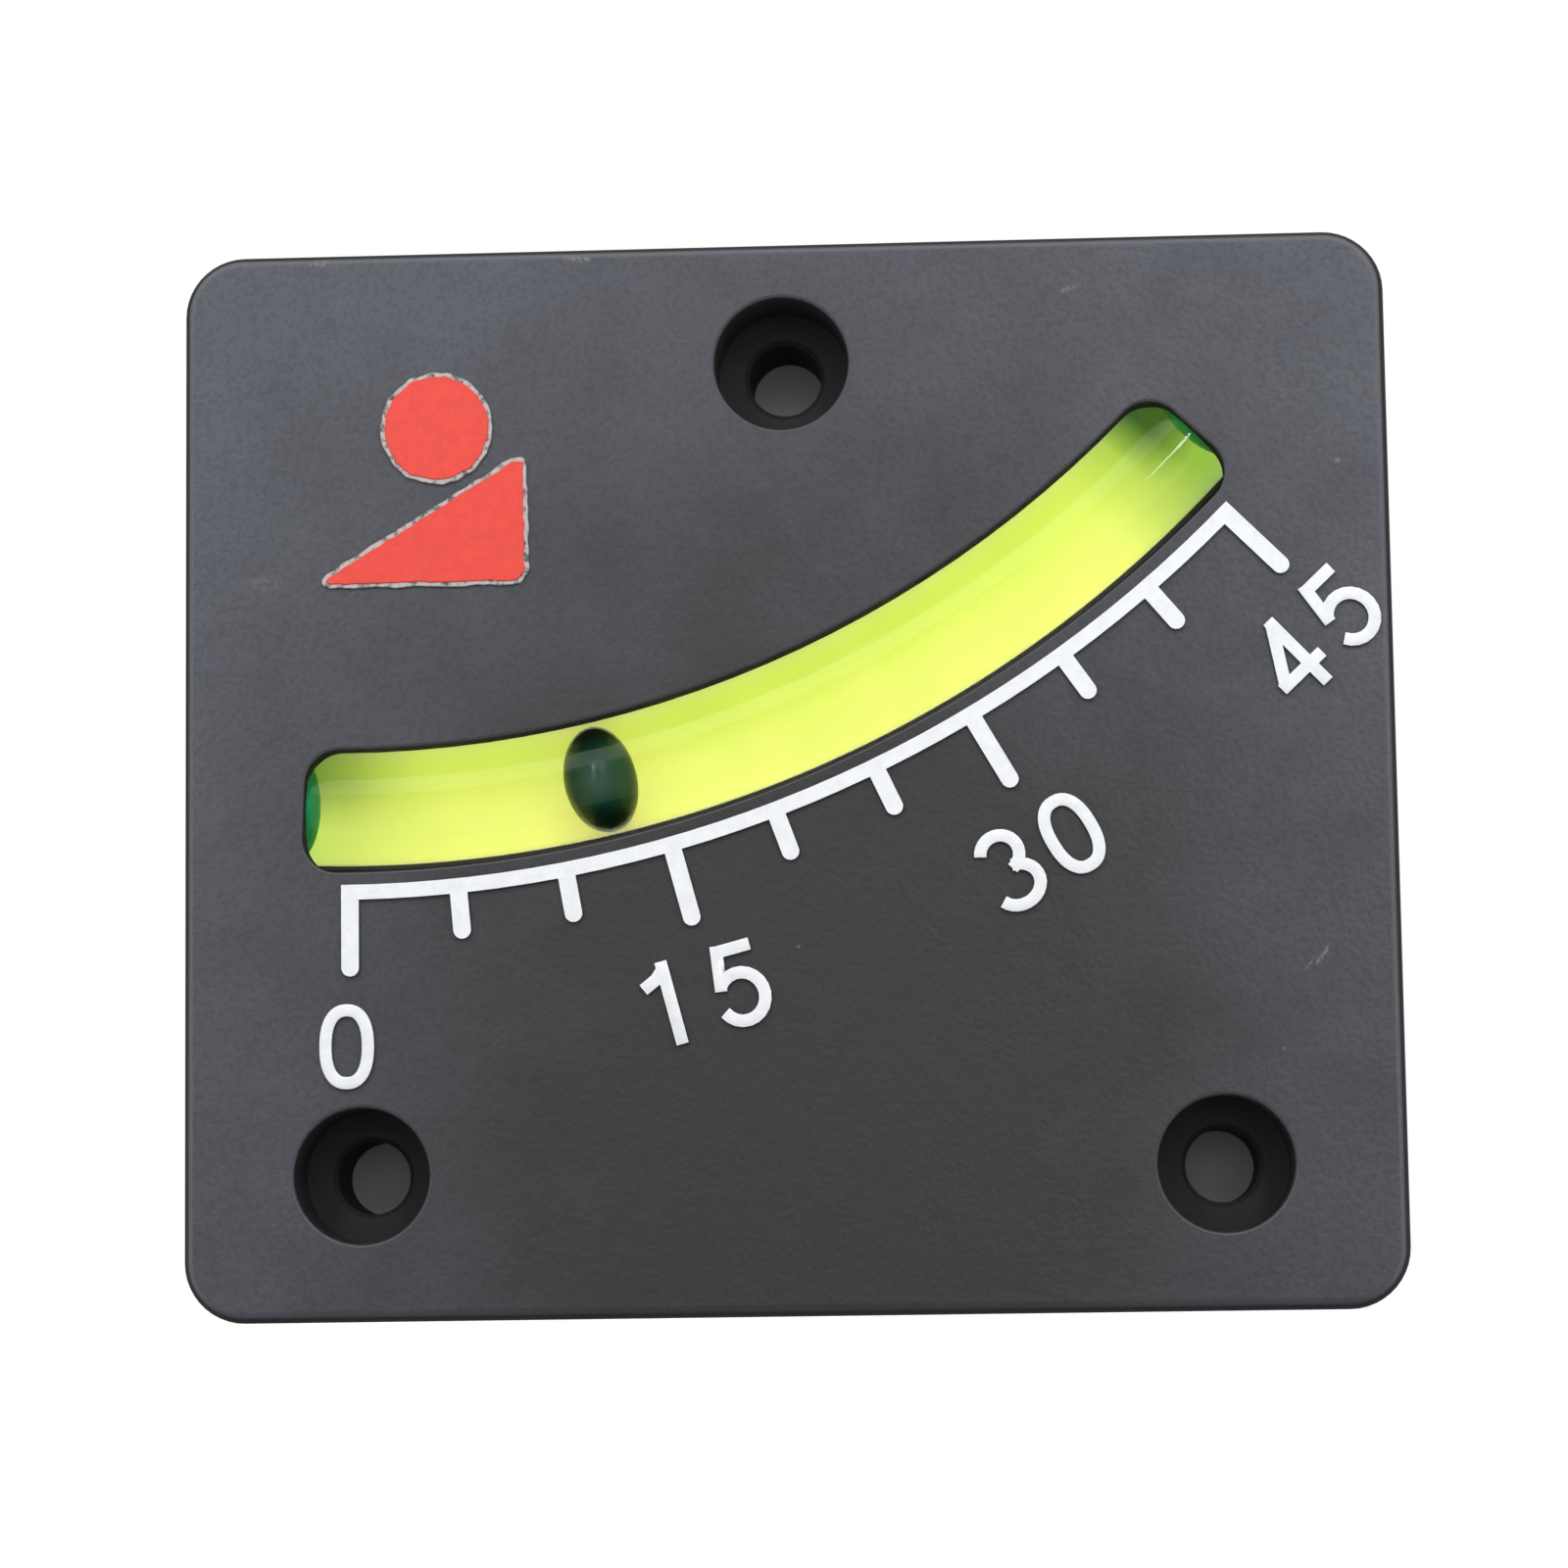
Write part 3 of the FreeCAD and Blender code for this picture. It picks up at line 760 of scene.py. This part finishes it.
# Plugs: moulded green rubber, pushed into both ends of the vial. Each has a flange that rests on
# the vial's end, a shank as wide as the bore and a domed nose, which shows in the window.
plug_green = (0.012, 0.600, 0.480)
plug_green_dark = (0.006, 0.420, 0.300)
plug_gloss = 0.05
flange_radius = 4.2 * mm
flange_thickness = 1.2 * mm
flange_chamfer = 0.3 * mm
shank_rings = 6


def green_rubber():
    """Smooth rubber with a dull bloom, hardly glossy because the fluid wets it."""
    made, tree, shader = start_finish("plug_rubber", plug_green, 0.45)
    shader.inputs["Specular IOR Level"].default_value = plug_gloss
    bloom = spread(tree, clouds(tree, 1.5 * mm, 4.0, 0.6), 0.35, 0.65, 0.0, 1.0)
    colour = tint(tree, bloom, plug_green_dark, plug_green)
    roughness = spread(tree, bloom, 0.0, 1.0, 0.35, 0.6)
    skin = relief(tree, clouds(tree, 0.3 * mm, 3.0), 0.02 * mm)
    feed(tree, shader, Base_Color=colour, Roughness=roughness, Normal=skin)
    return made


def end_plug(side, finish):
    """One plug: from its flange's outer face in along the shank to its nose."""
    shape = bmesh.new()
    outer_face = vial_overreach + flange_thickness
    ring = ring_at(shape, flange_radius - flange_chamfer, past_scale(side, outer_face))
    bmesh.ops.contextual_create(shape, geom=ring)
    shank_radius = bore_radius - fluid_gap
    dome_end = nose_overreach + dome_radius * (1 - math.cos(dome_turn))
    levels = [(outer_face - flange_chamfer, flange_radius), (vial_overreach, flange_radius)]
    for number in range(shank_rings):
        share = number / shank_rings
        levels.append((vial_overreach + (dome_end - vial_overreach) * share, shank_radius))
    for overreach, radius in levels:
        following = ring_at(shape, radius, past_scale(side, overreach))
        bmesh.ops.bridge_loops(shape, edges=ring + following)
        ring = following
    add_dome(shape, ring, side, 0.0, dome_steps)
    piece = new_piece(side + "_plug", shape, [finish])
    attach(piece, "housing")
    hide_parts(side + "_end_plug")


plug_rubber = green_rubber()
for side in ("left", "right"):
    end_plug(side, plug_rubber)

# Ball: hardened steel, blackened and polished, which rolls in the bore and shows the angle.
# Rolling has rubbed it in patches. The fluid round it leaves it little gloss. Its black carries a
# painted green cast, for the glow of the fluid round it.
# Painted reflection: a green cast on the black, for the fluid's glow round the ball.
ball_green_cast_black = (0.009, 0.064, 0.038)
ball_green_cast_black_rubbed = (0.012, 0.080, 0.048)
ball_bend = 1.24
scratch_height = 0.0004 * mm


def blackened_steel():
    """Blackened steel with a painted green cast, rubbed patches and hairline scratches from rolling."""
    made, tree, shader = start_finish("ball_steel", ball_green_cast_black, 0.15)
    shader.inputs["IOR"].default_value = ball_bend
    rubbed = spread(tree, clouds(tree, 1.4 * mm, 4.0, 0.6), 0.45, 0.7, 0.0, 1.0)
    colour = tint(tree, rubbed, ball_green_cast_black, ball_green_cast_black_rubbed)
    roughness = spread(tree, rubbed, 0.0, 1.0, 0.02, 0.05)
    scratches = relief(tree, clouds(tree, 0.12 * mm, 2.0), scratch_height)
    feed(tree, shader, Base_Color=colour, Roughness=roughness, Normal=scratches)
    return made


parts["indicator_ball"].material_slots[0].material = blackened_steel()

# Liner: a strip of matte white plastic, folded round the back of the vial. It throws light back
# into the vial and has a painted pale glow. Its folded edges are painted black as shade, so that no
# white shows beside the vial.
liner_white = (0.86, 0.88, 0.84)
liner_white_dull = (0.80, 0.82, 0.79)
# Painted shade on the folded edges and a painted glow over the rest.
liner_edge_shade = (0.008, 0.008, 0.008)
liner_painted_glow = (0.95, 1.0, 0.85)
liner_painted_glow_strength = 0.4
liner_edge = (3.3 * mm, 3.6 * mm)


def matte_white():
    """Matte white plastic with a faint grain, a painted glow, and painted black shade along its edges."""
    made, tree, shader = start_finish("liner_plastic", liner_white, 0.7)
    grain = spread(tree, clouds(tree, 0.8 * mm, 4.0, 0.6), 0.3, 0.7, 0.0, 1.0)
    colour = tint(tree, grain, liner_white, liner_white_dull)
    off_line = reckon(tree, "ABSOLUTE", on_scale(tree)[1])
    edge = spread(tree, off_line, *liner_edge, 0.0, 1.0)
    glow = tint(tree, edge, liner_painted_glow, (0.0, 0.0, 0.0))
    skin = relief(tree, clouds(tree, 0.3 * mm, 2.0), 0.01 * mm)
    shader.inputs["Emission Strength"].default_value = liner_painted_glow_strength
    feed(tree, shader, Base_Color=tint(tree, edge, colour, liner_edge_shade), Emission_Color=glow,
         Normal=skin)
    return made


parts["reflector_liner"].material_slots[0].material = matte_white()

# Rear cover: the same plastic as the housing from a smoother mould, with the same painted sheen and
# painted shade in its grain. Four countersunk screws in zinc plate hold it, each a little stained
# where the driver has been.
cover_grey = (0.026, 0.026, 0.029)
cover_grey_sheen = (0.036, 0.036, 0.040)
zinc = (0.60, 0.61, 0.62)
zinc_stained = (0.42, 0.40, 0.36)


def zinc_plate():
    """Zinc-plated steel with stains and fine scratches."""
    made, tree, shader = start_finish("screw_steel", zinc, 0.3)
    shader.inputs["Metallic"].default_value = 1.0
    stains = spread(tree, clouds(tree, 1.2 * mm, 5.0, 0.65), 0.42, 0.68, 0.0, 1.0)
    colour = tint(tree, stains, zinc, zinc_stained)
    roughness = spread(tree, stains, 0.0, 1.0, 0.26, 0.48)
    scratches = relief(tree, clouds(tree, 0.15 * mm, 3.0), 0.006 * mm)
    feed(tree, shader, Base_Color=colour, Roughness=roughness, Normal=scratches)
    return made


parts["back_cover"].material_slots[0].material = moulded_plastic(
    "cover_plastic", cover_grey, cover_grey_sheen, False
)
parts["cover_screws"].material_slots[0].material = zinc_plate()

# Floor and paper: a white floor under the plate, and a disc of paper at the back of each screw
# hole, for the surface that shows through them. From behind, the discs let everything through.
plate_low, plate_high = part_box("front_housing")
floor_half = 2.0
floor_pale = (0.35, 0.35, 0.35)
paper_inset = 0.02 * mm
paper_sides = 48
paper_white = (0.60, 0.60, 0.60)
floor_glow = 0.85


def flat_piece(name, corners, finish):
    """A flat stage piece through its corners."""
    shape = bmesh.new()
    shape.faces.new([shape.verts.new(corner) for corner in corners])
    mesh = bpy.data.meshes.new(name)
    shape.to_mesh(mesh)
    shape.free()
    mesh.materials.append(finish)
    piece = bpy.data.objects.new(name, mesh)
    bpy.context.scene.collection.objects.link(piece)
    return piece


def seen_share(tree):
    """One for the eye, and for what polished metal and glass show, and else none."""
    ray = add_node(tree, "ShaderNodeLightPath").outputs
    share = reckon(tree, "MAXIMUM", ray["Is Camera Ray"], ray["Is Glossy Ray"])
    return reckon(tree, "MAXIMUM", share, ray["Is Transmission Ray"])


def white_floor():
    """A matte pale floor that keeps the plate's shadow and joins the white behind it."""
    made, tree, shader = start_finish("floor_white", floor_pale, 0.9)
    shader.inputs["Specular IOR Level"].default_value = 0.0
    strength = reckon(tree, "MULTIPLY", seen_share(tree), floor_glow)
    glow = add_node(tree, "ShaderNodeEmission", {"Strength": strength}).outputs[0]
    both = add_node(tree, "ShaderNodeAddShader", {0: shader.outputs[0], 1: glow}).outputs[0]
    tree.links.new(both, tree.nodes["Material Output"].inputs["Surface"])
    return made


def white_paper():
    """Paper from the front, and nothing from behind."""
    made, tree, shader = start_finish("paper_white", paper_white, 0.9)
    behind = add_node(tree, "ShaderNodeNewGeometry").outputs["Backfacing"]
    inputs = {0: behind, 1: shader.outputs[0], 2: see_through(tree, (1, 1, 1))}
    either = add_node(tree, "ShaderNodeMixShader", inputs).outputs[0]
    tree.links.new(either, tree.nodes["Material Output"].inputs["Surface"])
    return made


floor_corners = [
    (x * floor_half, y * floor_half, plate_low.z) for x, y in ((-1, -1), (1, -1), (1, 1), (-1, 1))
]
flat_piece("floor", floor_corners, white_floor())
paper = white_paper()
for mount in frame["record"]["mounts"]:
    if mount["kind"] == "bore":
        hole_x, _, hole_z = mount["pos_m"]
        reach = mount["dims"]["r_mm"] * mm
        rim = arc_points(hole_x, hole_z, reach, reach, 0, 360, paper_sides)[:-1]
        corners = [(x, plate_high.y - paper_inset, z) for x, z in rim]
        flat_piece("paper_" + mount["name"], corners, paper)

# Light: white all round at a plain level, a broad soft lamp above the front, and one above the
# back for the views from behind. Two tall panels beside the camera only show as highlights. Each
# lamp has its turn and rise in degrees, distance, size, radiance, and whether it lights matte.
world_level = 0.74
bounces_through_clear = 24
lamps = [
    ("soft_lamp", 0.0, 36.5, 0.45, (0.70, 0.25), 2.5, True),
    ("left_panel", -26.0, 16.5, 0.6, (0.05, 0.42), 20.0, False),
    ("right_panel", 20.5, 16.5, 0.6, (0.05, 0.42), 28.0, False),
    ("back_lamp", 150.0, 40.0, 0.8, (0.60, 0.60), 1.2, True),
]

world = bpy.data.worlds.new("white_world")
world.use_nodes = True
bpy.context.scene.world = world
tree = world.node_tree
level = spread(tree, seen_share(tree), 0.0, 1.0, world_level, 1.0)
background = tree.nodes["Background"]
background.inputs["Color"].default_value = (1, 1, 1, 1)
tree.links.new(level, background.inputs["Strength"])

lamp_aim = (plate_low + plate_high) / 2
for name, around, above, distance, (width, height), radiance, lights_matte in lamps:
    lamp = bpy.data.lights.new(name, "AREA")
    lamp.shape = "RECTANGLE"
    lamp.size = width
    lamp.size_y = height
    lamp.energy = radiance * math.pi * width * height
    fixture = bpy.data.objects.new(name, lamp)
    bpy.context.scene.collection.objects.link(fixture)
    turn, rise = math.radians(around), math.radians(above)
    away = Vector((math.sin(turn) * math.cos(rise), -math.cos(turn) * math.cos(rise),
                   math.sin(rise)))
    fixture.visible_camera = False
    fixture.visible_diffuse = lights_matte
    fixture.location = lamp_aim + away * distance
    fixture.rotation_euler = (-away).to_track_quat("-Z", "Y").to_euler()
bpy.context.scene.cycles.transparent_max_bounces = bounces_through_clear
bpy.context.scene.view_settings.view_transform = "Standard"

# Camera: a little below the middle of the plate and to its right, as the picture was taken, with
# its turn in degrees about X, Y and Z and its lens in mm.
camera_place = (14.97 * mm, -332.11 * mm, -36.40 * mm)
camera_turn = (96.370, 0.784, 2.818)
camera_lens = 99.40

camera = bpy.data.objects.new("camera", bpy.data.cameras.new("camera"))
bpy.context.scene.collection.objects.link(camera)
camera.location = camera_place
camera.rotation_euler = [math.radians(angle) for angle in camera_turn]
camera.data.lens = camera_lens
camera.data.clip_start = 0.01
bpy.context.scene.camera = camera
